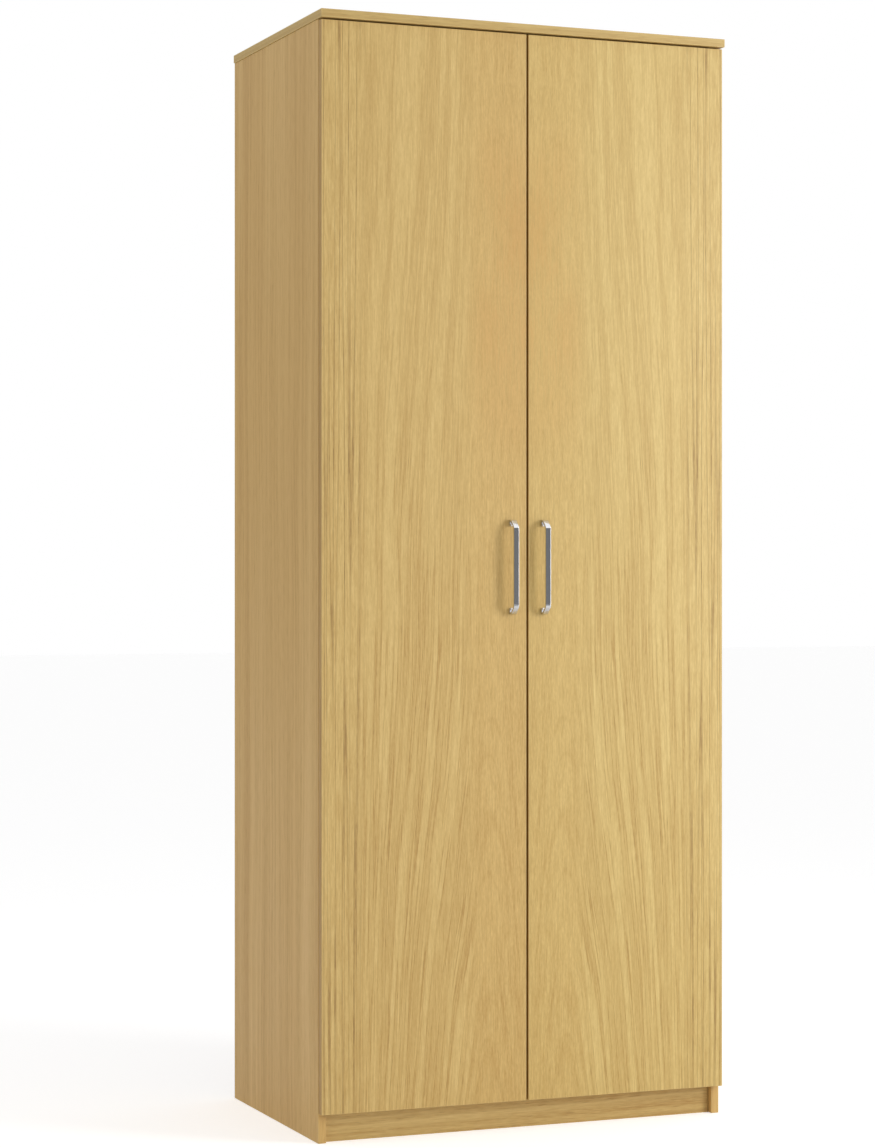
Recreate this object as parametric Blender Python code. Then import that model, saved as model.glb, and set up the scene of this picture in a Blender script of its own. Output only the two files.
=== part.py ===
"""A two-door wardrobe: boards, doors on concealed hinges, chrome handles, shelf and hanging rail.

Metres, +Z up. The wardrobe faces -Y and the floor is z = 0. The origin is under the middle of its
bounding box. "Left" is -X, as seen by someone who stands in front of the doors.
"""
import math

import bmesh
import bpy
from mathutils import Matrix, Vector

MM = 0.001
MERGE_DISTANCE = 1e-7
CUT_SPARE = 5 * MM               # how far a cutter starts outside the face that it cuts

# ---- Driving dimensions -------------------------------------------------------------------------
HEIGHT = 2010 * MM
TOP_WIDTH = 800 * MM
SIDE_DEPTH = 482 * MM            # front edge to back edge of a side panel
BOARD = 15 * MM                  # thickness of every board
TOP_OVERSAIL = 2 * MM            # the top stands out this far beyond each side
TOP_OVERHANG = 22 * MM           # and this far beyond the side panels' front edges
FIT = 0.3 * MM                   # gap kept between pieces that touch on the real wardrobe

DOOR_BOTTOM = 53 * MM
DOOR_TOP_GAP = 3 * MM
MEETING_GAP = 4 * MM             # between the two doors
DOOR_INSET = 0.5 * MM            # door's outer edge, in from the side panel's outer face
DOOR_STANDOFF = 1 * MM           # door's back face, in front of the side panels' front edges

BASE_UNDERSIDE = 50 * MM
PLINTH_SETBACK = 12 * MM
BACK_THICKNESS = 3 * MM
BACK_INSET = 12 * MM             # back board's rear face, in from the side panels' rear edges
GROOVE_DEPTH = 6 * MM
RAIL_HEIGHT = 80 * MM            # wall rail under the top, at the back
SHELF_UNDERSIDE = 1640 * MM
SHELF_SETBACK = 20 * MM
EDGE_ROUND = 0.6 * MM

HANDLE_MIDDLE = 1023 * MM        # height of the handles' middle
HANDLE_CENTRES = 160 * MM        # between the two fixing screws
HANDLE_REACH = 23 * MM           # from the door's front face to the handle's front
HANDLE_LENGTH = 172 * MM         # over both feet
HANDLE_STRAIGHT = 146 * MM       # straight stretch between the sloping ends
HANDLE_WIDTH = 10 * MM
HANDLE_THICKNESS = 4 * MM
HANDLE_FROM_EDGE = 29.5 * MM     # handle's middle line from the door's meeting edge
HANDLE_BEND = 7 * MM             # outer radius of the strap's bends
HANDLE_BOSS_DEPTH = 4 * MM       # thick end of each foot, which takes the screw
SCREW_RADIUS = 2 * MM

HINGE_END_DISTANCE = 100 * MM    # first and last hinge from the door's ends
HINGES_PER_DOOR = 4
CUP_FROM_SIDE = 22.5 * MM        # cup's middle, in from the side panel's outer face
CUP_RADIUS = 17.4 * MM
CUP_WALL = 0.8 * MM
CUP_DEPTH = 12 * MM
CUP_SEGMENTS = 40
SWING_INBOARD = 4 * MM           # door's swing axis, in from the side panel's outer face
SWING_FORWARD = 12 * MM          # and in front of the side panels' front edges
LINK_INBOARD = 25 * MM           # link's pin on the hinge arm, in from the outer face
LINK_FORWARD = 1 * MM            # and in front of the side panels' front edges
LINK_LENGTH = 17 * MM
PLATE_BACK = 37 * MM             # mounting plate's middle, behind the side panels' front edges
LINK_REST_ANGLE = 30             # degrees the closed link dips into the cup, from straight outboard

RAIL_DROP = 62 * MM              # hanging rail's middle, below the shelf
RAIL_WIDTH = 15 * MM
RAIL_DEPTH = 30 * MM
RAIL_WALL = 1 * MM
PIN_RADIUS = 2.5 * MM
PIN_LENGTH = 16 * MM

# ---- Worked out from them -----------------------------------------------------------------------
DOOR_BACK_TO_FRONT = DOOR_STANDOFF + BOARD
PROJECTION = DOOR_BACK_TO_FRONT + HANDLE_REACH      # everything in front of the side panels
FRONT = (PROJECTION - SIDE_DEPTH) / 2               # y of the side panels' front edges
REAR = FRONT + SIDE_DEPTH
SIDE_OUTER = TOP_WIDTH / 2 - TOP_OVERSAIL           # x of the right side panel's outer face
SIDE_INNER = SIDE_OUTER - BOARD
TOP_UNDERSIDE = HEIGHT - BOARD
BACK_REAR = REAR - BACK_INSET
BACK_FRONT = BACK_REAR - BACK_THICKNESS
DOOR_OUTER = SIDE_OUTER - DOOR_INSET
DOOR_MEET = MEETING_GAP / 2
DOOR_TOP = TOP_UNDERSIDE - DOOR_TOP_GAP
DOOR_REAR_FACE = FRONT - DOOR_STANDOFF
DOOR_FRONT_FACE = FRONT - DOOR_BACK_TO_FRONT
HANDLE_X = DOOR_MEET + HANDLE_FROM_EDGE
INSIDE_MIDDLE_Y = (FRONT + BACK_FRONT) / 2
SIDES = {"left": -1, "right": 1}


def hinge_heights():
    """Heights of a door's hinges: the end ones at a set distance from its ends, the rest evenly between."""
    low = DOOR_BOTTOM + HINGE_END_DISTANCE
    high = DOOR_TOP - HINGE_END_DISTANCE
    step = (high - low) / (HINGES_PER_DOOR - 1)
    return [low + step * i for i in range(HINGES_PER_DOOR)]


# ---- Materials ----------------------------------------------------------------------------------
def make_material(name, colour, roughness, metallic=0.0):
    material = bpy.data.materials.new(name)
    material.use_nodes = True
    shader = material.node_tree.nodes["Principled BSDF"]
    shader.inputs["Base Color"].default_value = (*colour, 1.0)
    shader.inputs["Roughness"].default_value = roughness
    shader.inputs["Metallic"].default_value = metallic
    material.diffuse_color = (*colour, 1.0)
    return material


def make_materials():
    return {
        "oak_door": make_material("oak_door", (0.66, 0.49, 0.25), 0.45),
        "oak_board": make_material("oak_board", (0.52, 0.37, 0.19), 0.5),
        "oak_edge": make_material("oak_edge", (0.58, 0.42, 0.22), 0.5),
        "backing": make_material("backing", (0.60, 0.47, 0.29), 0.7),
        "chrome": make_material("chrome", (0.78, 0.78, 0.80), 0.08, 1.0),
        "nickel": make_material("nickel", (0.62, 0.61, 0.58), 0.3, 1.0),
        "clear_plastic": make_material("clear_plastic", (0.80, 0.80, 0.78), 0.4),
    }


# ---- Building blocks ----------------------------------------------------------------------------
def new_object(name, mesh, material):
    """Link a mesh as an object with its material, its faces pointing out."""
    shape = bmesh.new()
    shape.from_mesh(mesh)
    bmesh.ops.recalc_face_normals(shape, faces=shape.faces)
    shape.to_mesh(mesh)
    shape.free()
    thing = bpy.data.objects.new(name, mesh)
    bpy.context.collection.objects.link(thing)
    if not mesh.materials:
        mesh.materials.append(material)
    return thing


def box(name, low, high, material, edge=EDGE_ROUND):
    """A board between two corners, with its origin at its middle and slightly rounded edges."""
    low = Vector(low)
    high = Vector(high)
    shape = bmesh.new()
    bmesh.ops.create_cube(shape, size=1.0)
    bmesh.ops.scale(shape, vec=high - low, verts=shape.verts)
    mesh = bpy.data.meshes.new(name)
    shape.to_mesh(mesh)
    shape.free()
    board = new_object(name, mesh, material)
    board.location = (low + high) / 2
    if edge:
        add_bevel(board, edge)
    return board


def prism(name, outline, low, high, material, axis="Z"):
    """A flat outline, pushed from low to high along an axis. Z takes (x, y), X takes (y, z)."""
    place = {"Z": lambda a, b, c: (a, b, c), "X": lambda a, b, c: (c, a, b)}[axis]
    shape = bmesh.new()
    face = shape.faces.new([shape.verts.new(place(a, b, low)) for a, b in outline])
    pushed = bmesh.ops.extrude_face_region(shape, geom=[face])
    moved = [item for item in pushed["geom"] if isinstance(item, bmesh.types.BMVert)]
    bmesh.ops.translate(shape, vec=Vector(place(0, 0, high - low)), verts=moved)
    mesh = bpy.data.meshes.new(name)
    shape.to_mesh(mesh)
    shape.free()
    return new_object(name, mesh, material)


def turned(name, profile, material, segments=32):
    """A (radius, height) profile that starts and ends on the Z axis, spun about it."""
    shape = bmesh.new()
    verts = [shape.verts.new((radius, 0, height)) for radius, height in profile]
    edges = [shape.edges.new(pair) for pair in zip(verts, verts[1:])]
    bmesh.ops.spin(shape, geom=verts + edges, cent=(0, 0, 0), axis=(0, 0, 1), angle=math.tau,
                   steps=segments, use_merge=True)
    bmesh.ops.remove_doubles(shape, verts=shape.verts, dist=MERGE_DISTANCE)
    mesh = bpy.data.meshes.new(name)
    shape.to_mesh(mesh)
    shape.free()
    piece = new_object(name, mesh, material)
    smooth(piece)
    return piece


def smooth(piece, angle=35):
    piece.data.shade_smooth()
    piece.data.set_sharp_from_angle(angle=math.radians(angle))


def add_bevel(piece, width, segments=2):
    bevel = piece.modifiers.new("bevel", "BEVEL")
    bevel.width = width
    bevel.segments = segments
    bevel.limit_method = "ANGLE"
    bevel.angle_limit = math.radians(40)


def combine(piece, other, operation):
    """Cut or join another object into a piece at once, and remove the other object."""
    step = piece.modifiers.new("combine", "BOOLEAN")
    step.operation = operation
    step.object = other
    step.solver = "EXACT"
    bake(piece)
    bpy.data.objects.remove(other)


def bake(piece):
    """Replace a piece's mesh by what its modifiers make of it."""
    bpy.context.view_layer.update()
    graph = bpy.context.evaluated_depsgraph_get()
    mesh = bpy.data.meshes.new_from_object(piece.evaluated_get(graph))
    piece.modifiers.clear()
    piece.data = mesh


def cutter_cylinder(centre, axis, radius, length, segments=24):
    """A cylinder that starts at centre and runs along axis, for cutting a hole."""
    shape = bmesh.new()
    bmesh.ops.create_cone(shape, cap_ends=True, segments=segments, radius1=radius, radius2=radius,
                          depth=length)
    mesh = bpy.data.meshes.new("cutter")
    shape.to_mesh(mesh)
    shape.free()
    cutter = bpy.data.objects.new("cutter", mesh)
    bpy.context.collection.objects.link(cutter)
    axis = Vector(axis).normalized()
    cutter.matrix_world = (Matrix.Translation(Vector(centre) + axis * length / 2)
                           @ axis.to_track_quat("Z", "Y").to_matrix().to_4x4())
    return cutter


def arc(centre, radius, start, end, steps):
    """Points on an arc, angles in degrees."""
    angles = [math.radians(start + (end - start) * i / steps) for i in range(steps + 1)]
    return [(centre[0] + radius * math.cos(a), centre[1] + radius * math.sin(a)) for a in angles]


def set_parent(piece, parent):
    """Hang a piece under a parent without moving it in the world."""
    bpy.context.view_layer.update()
    world = piece.matrix_world.copy()
    piece.parent = parent
    piece.matrix_parent_inverse = Matrix.Identity(4)
    piece.matrix_basis = parent.matrix_world.inverted() @ world


def empty(name, location):
    axis_point = bpy.data.objects.new(name, None)
    bpy.context.collection.objects.link(axis_point)
    axis_point.location = location
    bpy.context.view_layer.update()
    return axis_point


# ---- Carcass ------------------------------------------------------------------------------------
def side_panel(name, sign, oak):
    """A full-height side, with a groove for the back board and four blind holes for shelf pins."""
    groove_low = BACK_FRONT - FIT
    groove_high = BACK_REAR + FIT
    inner = SIDE_INNER
    bottom_of_groove = inner + GROOVE_DEPTH
    outline = [(SIDE_OUTER, FRONT), (SIDE_OUTER, REAR), (inner, REAR), (inner, groove_high),
               (bottom_of_groove, groove_high), (bottom_of_groove, groove_low), (inner, groove_low),
               (inner, FRONT)]
    panel = prism(name, [(sign * x, y) for x, y in outline], 0, TOP_UNDERSIDE - FIT, oak)
    add_bevel(panel, EDGE_ROUND)
    bake(panel)
    for y in shelf_pin_places():
        hole = cutter_cylinder((sign * (inner - CUT_SPARE), y, shelf_pin_height()), (sign, 0, 0),
                               PIN_RADIUS + FIT, CUT_SPARE + PIN_LENGTH / 2 + 2 * FIT)
        combine(panel, hole, "DIFFERENCE")
    return panel


def shelf_pin_places():
    return (FRONT + 70 * MM, BACK_FRONT - 60 * MM)


def shelf_pin_height():
    return SHELF_UNDERSIDE - FIT - PIN_RADIUS - 0.5 * MM


def top_panel(oak):
    """The top, grooved underneath for the back board."""
    low = (-TOP_WIDTH / 2, FRONT - TOP_OVERHANG, TOP_UNDERSIDE)
    high = (TOP_WIDTH / 2, REAR, HEIGHT)
    panel = box("top_panel", low, high, oak, 0.8 * MM)
    bake(panel)
    groove = box("groove", (-SIDE_INNER - GROOVE_DEPTH, BACK_FRONT - FIT, TOP_UNDERSIDE - 5 * MM),
                 (SIDE_INNER + GROOVE_DEPTH, BACK_REAR + FIT, TOP_UNDERSIDE + GROOVE_DEPTH), oak, 0)
    combine(panel, groove, "DIFFERENCE")
    return panel


def build_carcass(materials):
    oak = materials["oak_board"]
    edge = materials["oak_edge"]
    inside = SIDE_INNER - FIT
    for side, sign in SIDES.items():
        side_panel(f"{side}_side_panel", sign, oak)
    top_panel(oak)
    box("base_panel", (-inside, FRONT, BASE_UNDERSIDE),
        (inside, BACK_FRONT - FIT, BASE_UNDERSIDE + BOARD), oak)
    box("back_panel", (-SIDE_INNER - GROOVE_DEPTH + FIT, BACK_FRONT, BASE_UNDERSIDE),
        (SIDE_INNER + GROOVE_DEPTH - FIT, BACK_REAR, TOP_UNDERSIDE + GROOVE_DEPTH - FIT),
        materials["backing"], 0)
    box("plinth_front", (-inside, FRONT + PLINTH_SETBACK, 0),
        (inside, FRONT + PLINTH_SETBACK + BOARD, BASE_UNDERSIDE - FIT), edge)
    box("plinth_rear", (-inside, BACK_FRONT - 40 * MM - BOARD, 0),
        (inside, BACK_FRONT - 40 * MM, BASE_UNDERSIDE - FIT), edge)
    box("wall_rail", (-inside, BACK_FRONT - FIT - BOARD, TOP_UNDERSIDE - FIT - RAIL_HEIGHT),
        (inside, BACK_FRONT - FIT, TOP_UNDERSIDE - FIT), oak)
    box("hat_shelf", (-inside + 0.7 * MM, FRONT + SHELF_SETBACK, SHELF_UNDERSIDE),
        (inside - 0.7 * MM, BACK_FRONT - FIT, SHELF_UNDERSIDE + BOARD), oak)
    build_shelf_pins(materials["nickel"])
    build_hanging_rail(materials)


def build_shelf_pins(nickel):
    """A plain pin with a small chamfer at each end; half of it sits in the side panel's blind hole."""
    places = dict(zip(("front", "rear"), shelf_pin_places()))
    half = PIN_LENGTH / 2
    chamfer = 0.4 * MM
    profile = [(0, -half), (PIN_RADIUS - chamfer, -half), (PIN_RADIUS, chamfer - half),
               (PIN_RADIUS, half - chamfer), (PIN_RADIUS - chamfer, half), (0, half)]
    for side, sign in SIDES.items():
        for where, y in places.items():
            pin = turned(f"shelf_pin_{side}_{where}", profile, nickel, 20)
            pin.rotation_euler = (0, -sign * math.pi / 2, 0)
            pin.location = (sign * SIDE_INNER, y, shelf_pin_height())


def stadium(width, depth, steps=10):
    """An upright oval outline, as (y, z) points: two half circles joined by straight sides."""
    radius = width / 2
    reach = depth / 2 - radius
    return arc((0, reach), radius, 0, 180, steps) + arc((0, -reach), radius, 180, 360, steps)


def build_hanging_rail(materials):
    """An oval tube held at each end in an open-topped socket on the side panel."""
    middle = SHELF_UNDERSIDE - RAIL_DROP
    end = SIDE_INNER - 3 * MM
    tube = prism("hanging_rail", stadium(RAIL_WIDTH, RAIL_DEPTH), -end, end, materials["chrome"], "X")
    bore = prism("bore", stadium(RAIL_WIDTH - 2 * RAIL_WALL, RAIL_DEPTH - 2 * RAIL_WALL),
                 -end - BOARD, end + BOARD, materials["chrome"], "X")
    combine(tube, bore, "DIFFERENCE")
    tube.location = (0, INSIDE_MIDDLE_Y, middle)
    smooth(tube)
    for side, sign in SIDES.items():
        build_rail_socket(f"rail_socket_{side}", sign, middle, materials["nickel"])


def build_rail_socket(name, sign, middle, nickel):
    """A flange on the side panel with a U-shaped collar under the rail's end."""
    collar = 2.2 * MM
    gap = 0.4 * MM
    outer = RAIL_WIDTH / 2 + gap + collar
    inner = RAIL_WIDTH / 2 + gap
    reach = RAIL_DEPTH / 2 - RAIL_WIDTH / 2
    rim = RAIL_DEPTH / 4
    outline = ([(outer, rim)] + arc((0, -reach), outer, 360, 180, 12) + [(-outer, rim), (-inner, rim)]
               + arc((0, -reach), inner, 180, 360, 12) + [(inner, rim)])
    at_panel = sign * (SIDE_INNER - FIT)
    at_plate = sign * (SIDE_INNER - 2.5 * MM)
    socket = prism(name, outline, at_panel, sign * (SIDE_INNER - 14 * MM), nickel, "X")
    plate = prism("plate", stadium(2 * outer + 4 * MM, RAIL_DEPTH + 14 * MM), at_panel, at_plate,
                  nickel, "X")
    combine(socket, plate, "UNION")
    socket.location = (0, INSIDE_MIDDLE_Y, middle)
    smooth(socket)


# ---- Doors --------------------------------------------------------------------------------------
def door(side, sign, swing, oak):
    """A flat door with a blind bore for each hinge cup and two through holes for the handle."""
    xs = sorted((sign * DOOR_MEET, sign * DOOR_OUTER))
    panel = box(f"{side}_door", (xs[0], DOOR_FRONT_FACE, DOOR_BOTTOM),
                (xs[1], DOOR_REAR_FACE, DOOR_TOP), oak, 0.8 * MM)
    bake(panel)
    for height in hinge_heights():
        cup_x = sign * (SIDE_OUTER - CUP_FROM_SIDE)
        bore = cutter_cylinder((cup_x, DOOR_REAR_FACE + CUT_SPARE, height), (0, -1, 0),
                               CUP_RADIUS + FIT, CUT_SPARE + CUP_DEPTH + FIT, CUP_SEGMENTS)
        combine(panel, bore, "DIFFERENCE")
    for height in handle_screw_heights():
        hole = cutter_cylinder((sign * HANDLE_X, DOOR_REAR_FACE + CUT_SPARE, height), (0, -1, 0),
                               SCREW_RADIUS + 0.5 * MM, 2 * CUT_SPARE + BOARD, 20)
        combine(panel, hole, "DIFFERENCE")
    set_parent(panel, swing)
    return panel


def handle_screw_heights():
    return (HANDLE_MIDDLE - HANDLE_CENTRES / 2, HANDLE_MIDDLE + HANDLE_CENTRES / 2)


def handle_outline():
    """Side view of the handle as (y, z): a flat strap whose ends slope back, then meet the door squarely.

    The upper half runs along the front from the straight, round the elbow, up the 45 degree slope,
    round the knee to the foot, and back along the inside past the foot's boss. Both bends are arcs.
    """
    foot_back = DOOR_FRONT_FACE - FIT
    boss_front = foot_back - HANDLE_BOSS_DEPTH
    front = DOOR_FRONT_FACE - HANDLE_REACH
    half_straight = HANDLE_STRAIGHT / 2
    half_length = HANDLE_LENGTH / 2
    boss_low = HANDLE_CENTRES - half_length
    ease = HANDLE_BEND * math.tan(math.radians(22.5))
    elbow = (front + HANDLE_BEND, half_straight - ease)
    knee = (front + half_length - half_straight + ease, half_length - HANDLE_BEND)
    inner = HANDLE_BEND - HANDLE_THICKNESS
    upper = (arc(elbow, HANDLE_BEND, 180, 135, 8) + arc(knee, HANDLE_BEND, 135, 90, 8)
             + [(foot_back, half_length), (foot_back, boss_low), (boss_front, boss_low),
                (boss_front, half_length - HANDLE_THICKNESS)]
             + arc(knee, inner, 90, 135, 6) + arc(elbow, inner, 135, 180, 6))
    lower = [(y, -z) for y, z in reversed(upper)]
    return [(y, HANDLE_MIDDLE + z) for y, z in upper + lower]


def build_handle(side, sign, swing, materials):
    """The strap handle and the two screws that hold it through the door."""
    middle = sign * HANDLE_X
    strap = prism(f"{side}_handle", handle_outline(), middle - HANDLE_WIDTH / 2,
                  middle + HANDLE_WIDTH / 2, materials["chrome"], "X")
    add_bevel(strap, 0.6 * MM)
    set_parent(strap, swing)
    names = dict(zip(("lower", "upper"), handle_screw_heights()))
    for where, height in names.items():
        head = 4 * MM
        profile = [(0, FIT - BOARD), (SCREW_RADIUS, FIT - BOARD), (SCREW_RADIUS, FIT), (head, FIT),
                   (head, 1.6 * MM), (head * 0.75, 2.5 * MM), (0, 2.5 * MM)]
        screw = turned(f"{side}_handle_screw_{where}", profile, materials["nickel"], 20)
        screw.rotation_euler = (-math.pi / 2, 0, 0)
        screw.location = (middle, DOOR_REAR_FACE, height)
        set_parent(screw, swing)


def build_bumpers(side, sign, swing, plastic):
    """Thin round pads on the door's back, where it meets the base's and the top's front edges."""
    pad = 5 * MM
    places = {"lower": BASE_UNDERSIDE + BOARD / 2 + 2 * MM, "upper": DOOR_TOP - 10 * MM}
    profile = [(0, 0), (pad, 0), (pad, 0.3 * MM), (pad * 0.8, 0.5 * MM), (0, 0.5 * MM)]
    for where, height in places.items():
        bumper = turned(f"{side}_door_bumper_{where}", profile, plastic, 20)
        bumper.rotation_euler = (-math.pi / 2, 0, 0)
        bumper.location = (sign * (DOOR_MEET + 12 * MM), DOOR_REAR_FACE + 0.2 * MM, height)
        set_parent(bumper, swing)


# ---- Hinges -------------------------------------------------------------------------------------
# A hinge is drawn for the left side in its own (inboard, back, up) axes: inboard is measured from
# the side panel's outer face, back from the side panels' front edges, up from the hinge's middle.
def cup_shape(nickel):
    """The pressed cup with its flange and the ears that the fixing screws go through."""
    flange = 0.5 * MM
    rim = CUP_RADIUS + 1.6 * MM
    low = -CUP_DEPTH
    face = 0.3 * MM
    profile = [(0, low), (CUP_RADIUS - 1 * MM, low), (CUP_RADIUS, low + 1 * MM), (CUP_RADIUS, face),
               (rim, face), (rim, face + flange), (CUP_RADIUS - CUP_WALL, face + flange),
               (CUP_RADIUS - CUP_WALL, low + 1.2 * MM), (CUP_RADIUS - 1.6 * MM, low + CUP_WALL),
               (0, low + CUP_WALL)]
    cup = turned("cup", profile, nickel, CUP_SEGMENTS)
    ear_middle = 9.5 * MM
    ears = prism("ears", stadium(13 * MM, 58 * MM, 8), face, face + flange, nickel)
    ears.location = (ear_middle, 0, 0)
    throat = cutter_cylinder((0, 0, low / 2), (0, 0, 1), CUP_RADIUS - 0.1 * MM, CUP_DEPTH, CUP_SEGMENTS)
    combine(ears, throat, "DIFFERENCE")
    ears.data.transform(Matrix.Translation(ears.location))
    ears.location = (0, 0, 0)
    combine(cup, ears, "UNION")
    for up in (-24 * MM, 24 * MM):
        hole = cutter_cylinder((ear_middle, up, 0), (0, 0, 1), 2.2 * MM, 5 * MM, 16)
        combine(cup, hole, "DIFFERENCE")
    smooth(cup)
    turn = Matrix.Rotation(-math.pi / 2, 4, "X")
    place = Matrix.Translation((CUP_FROM_SIDE, -DOOR_STANDOFF, 0))
    cup.data.transform(place @ turn)
    return cup


def link_shape(nickel):
    """The link: a flat strap with a barrel round its pin, dipping into the cup when closed."""
    half_width = 6 * MM
    barrel = 1.5 * MM
    half_thickness = 0.6 * MM
    start = math.degrees(math.asin(half_thickness / barrel))
    outline = (arc((0, 0), barrel, 180 - start, -180 + start, 16)
               + arc((-LINK_LENGTH + half_thickness, 0), half_thickness, 270, 90, 6))
    link = prism("link", outline, -half_width, half_width, nickel)
    link.data.transform(Matrix.Translation((LINK_INBOARD, -LINK_FORWARD, 0))
                        @ Matrix.Rotation(math.radians(LINK_REST_ANGLE), 4, "Z"))
    smooth(link)
    return link


def arm_shape(nickel):
    """The hinge arm: a channel from the link's pin back over the mounting plate."""
    eye = 3 * MM
    foot = BOARD + 2.6 * MM
    web = 30 * MM
    back = 62 * MM
    centre = (LINK_INBOARD, -LINK_FORWARD)
    outline = (arc(centre, eye, 170, 360, 10)
               + [(web, 8 * MM), (web, back - 4 * MM), (web - 3 * MM, back), (foot, back),
                  (foot, 14 * MM)])
    arm = prism("arm", outline, -8.2 * MM, 8.2 * MM, nickel)
    add_bevel(arm, 0.5 * MM)
    bake(arm)
    channel = [(0, -10 * MM), (40 * MM, -10 * MM), (40 * MM, 4 * MM), (web - 1.4 * MM, 8.5 * MM),
               (web - 1.4 * MM, back - 1.6 * MM), (0, back - 1.6 * MM)]
    combine(arm, prism("channel", channel, -6.6 * MM, 6.6 * MM, nickel), "DIFFERENCE")
    smooth(arm)
    return arm


def plate_shape(nickel):
    """The cross-shaped mounting plate that is screwed to the side panel."""
    low = BOARD + FIT
    plate = prism("plate", stadium(14 * MM, 46 * MM, 8), low, low + 1.6 * MM, nickel, "X")
    plate.data.transform(Matrix.Translation((0, PLATE_BACK, 0)))
    body = box("body", (low, PLATE_BACK - 19 * MM, -6 * MM),
               (low + 7 * MM, PLATE_BACK + 20 * MM, 6 * MM), nickel, 0)
    combine(plate, body, "UNION")
    for up in (-16 * MM, 16 * MM):
        hole = cutter_cylinder((low - CUT_SPARE, PLATE_BACK, up), (1, 0, 0), 2.2 * MM, 4 * CUT_SPARE, 16)
        combine(plate, hole, "DIFFERENCE")
    smooth(plate)
    return plate


def build_hinges(swings, link_axes, nickel):
    """Each hinge's four pieces, as copies of the shapes above, mirrored for the right side."""
    shapes = {"cup": cup_shape(nickel), "link": link_shape(nickel), "arm": arm_shape(nickel),
              "plate": plate_shape(nickel)}
    for side, sign in SIDES.items():
        parents = {"cup": swings[side], "link": link_axes[side], "arm": None, "plate": None}
        for kind, shape in shapes.items():
            mesh = shape.data.copy()
            if sign > 0:
                mesh.transform(Matrix.Scale(-1, 4, (1, 0, 0)))
                mesh.flip_normals()
            for number, height in enumerate(hinge_heights(), 1):
                copy = bpy.data.objects.new(f"{side}_hinge_{kind}_{number}", mesh)
                bpy.context.collection.objects.link(copy)
                copy.location = (sign * SIDE_OUTER, FRONT, height)
                if parents[kind]:
                    set_parent(copy, parents[kind])
    for shape in shapes.values():
        bpy.data.objects.remove(shape)


# ---- All of it ----------------------------------------------------------------------------------
def main():
    for old in list(bpy.data.objects):
        bpy.data.objects.remove(old)
    materials = make_materials()
    build_carcass(materials)
    swings = {}
    link_axes = {}
    for side, sign in SIDES.items():
        swings[side] = empty(f"{side}_door_axis", (sign * (SIDE_OUTER - SWING_INBOARD),
                                                   FRONT - SWING_FORWARD, DOOR_BOTTOM))
        link_axes[side] = empty(f"{side}_link_axis", (sign * (SIDE_OUTER - LINK_INBOARD),
                                                      FRONT - LINK_FORWARD, DOOR_BOTTOM))
        door(side, sign, swings[side], materials["oak_door"])
        build_handle(side, sign, swings[side], materials)
        build_bumpers(side, sign, swings[side], materials["clear_plastic"])
    build_hinges(swings, link_axes, materials["nickel"])


main()
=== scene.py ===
"""The looks of a two-door oak wardrobe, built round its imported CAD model.

Metres, +Z up, doors facing -Y, origin on the floor under the middle. "Left" is -X.
"""
import math

import bpy
import numpy as np
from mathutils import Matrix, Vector


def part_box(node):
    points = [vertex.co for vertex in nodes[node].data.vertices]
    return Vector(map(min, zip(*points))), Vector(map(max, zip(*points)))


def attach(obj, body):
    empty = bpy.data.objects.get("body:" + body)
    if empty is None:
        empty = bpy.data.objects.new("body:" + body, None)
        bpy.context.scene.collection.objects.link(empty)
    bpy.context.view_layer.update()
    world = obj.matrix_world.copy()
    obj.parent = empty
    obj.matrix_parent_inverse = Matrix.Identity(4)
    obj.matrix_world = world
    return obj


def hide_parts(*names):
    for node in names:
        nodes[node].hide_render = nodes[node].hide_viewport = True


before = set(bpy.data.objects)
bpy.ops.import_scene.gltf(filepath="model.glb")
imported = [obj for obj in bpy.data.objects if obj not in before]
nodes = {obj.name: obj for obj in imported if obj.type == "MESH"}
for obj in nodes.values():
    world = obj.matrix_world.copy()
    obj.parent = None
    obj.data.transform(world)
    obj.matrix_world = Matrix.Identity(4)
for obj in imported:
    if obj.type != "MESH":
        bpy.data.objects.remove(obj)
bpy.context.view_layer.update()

MM = 0.001
SIDES = {"left": -1, "right": 1}


def linear(red, green, blue):
    """An sRGB colour given as 0-255 values, as the linear colour that nodes use."""
    parts = [value / 255 for value in (red, green, blue)]
    return (*(p / 12.92 if p <= 0.04045 else ((p + 0.055) / 1.055) ** 2.4 for p in parts), 1.0)


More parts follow.
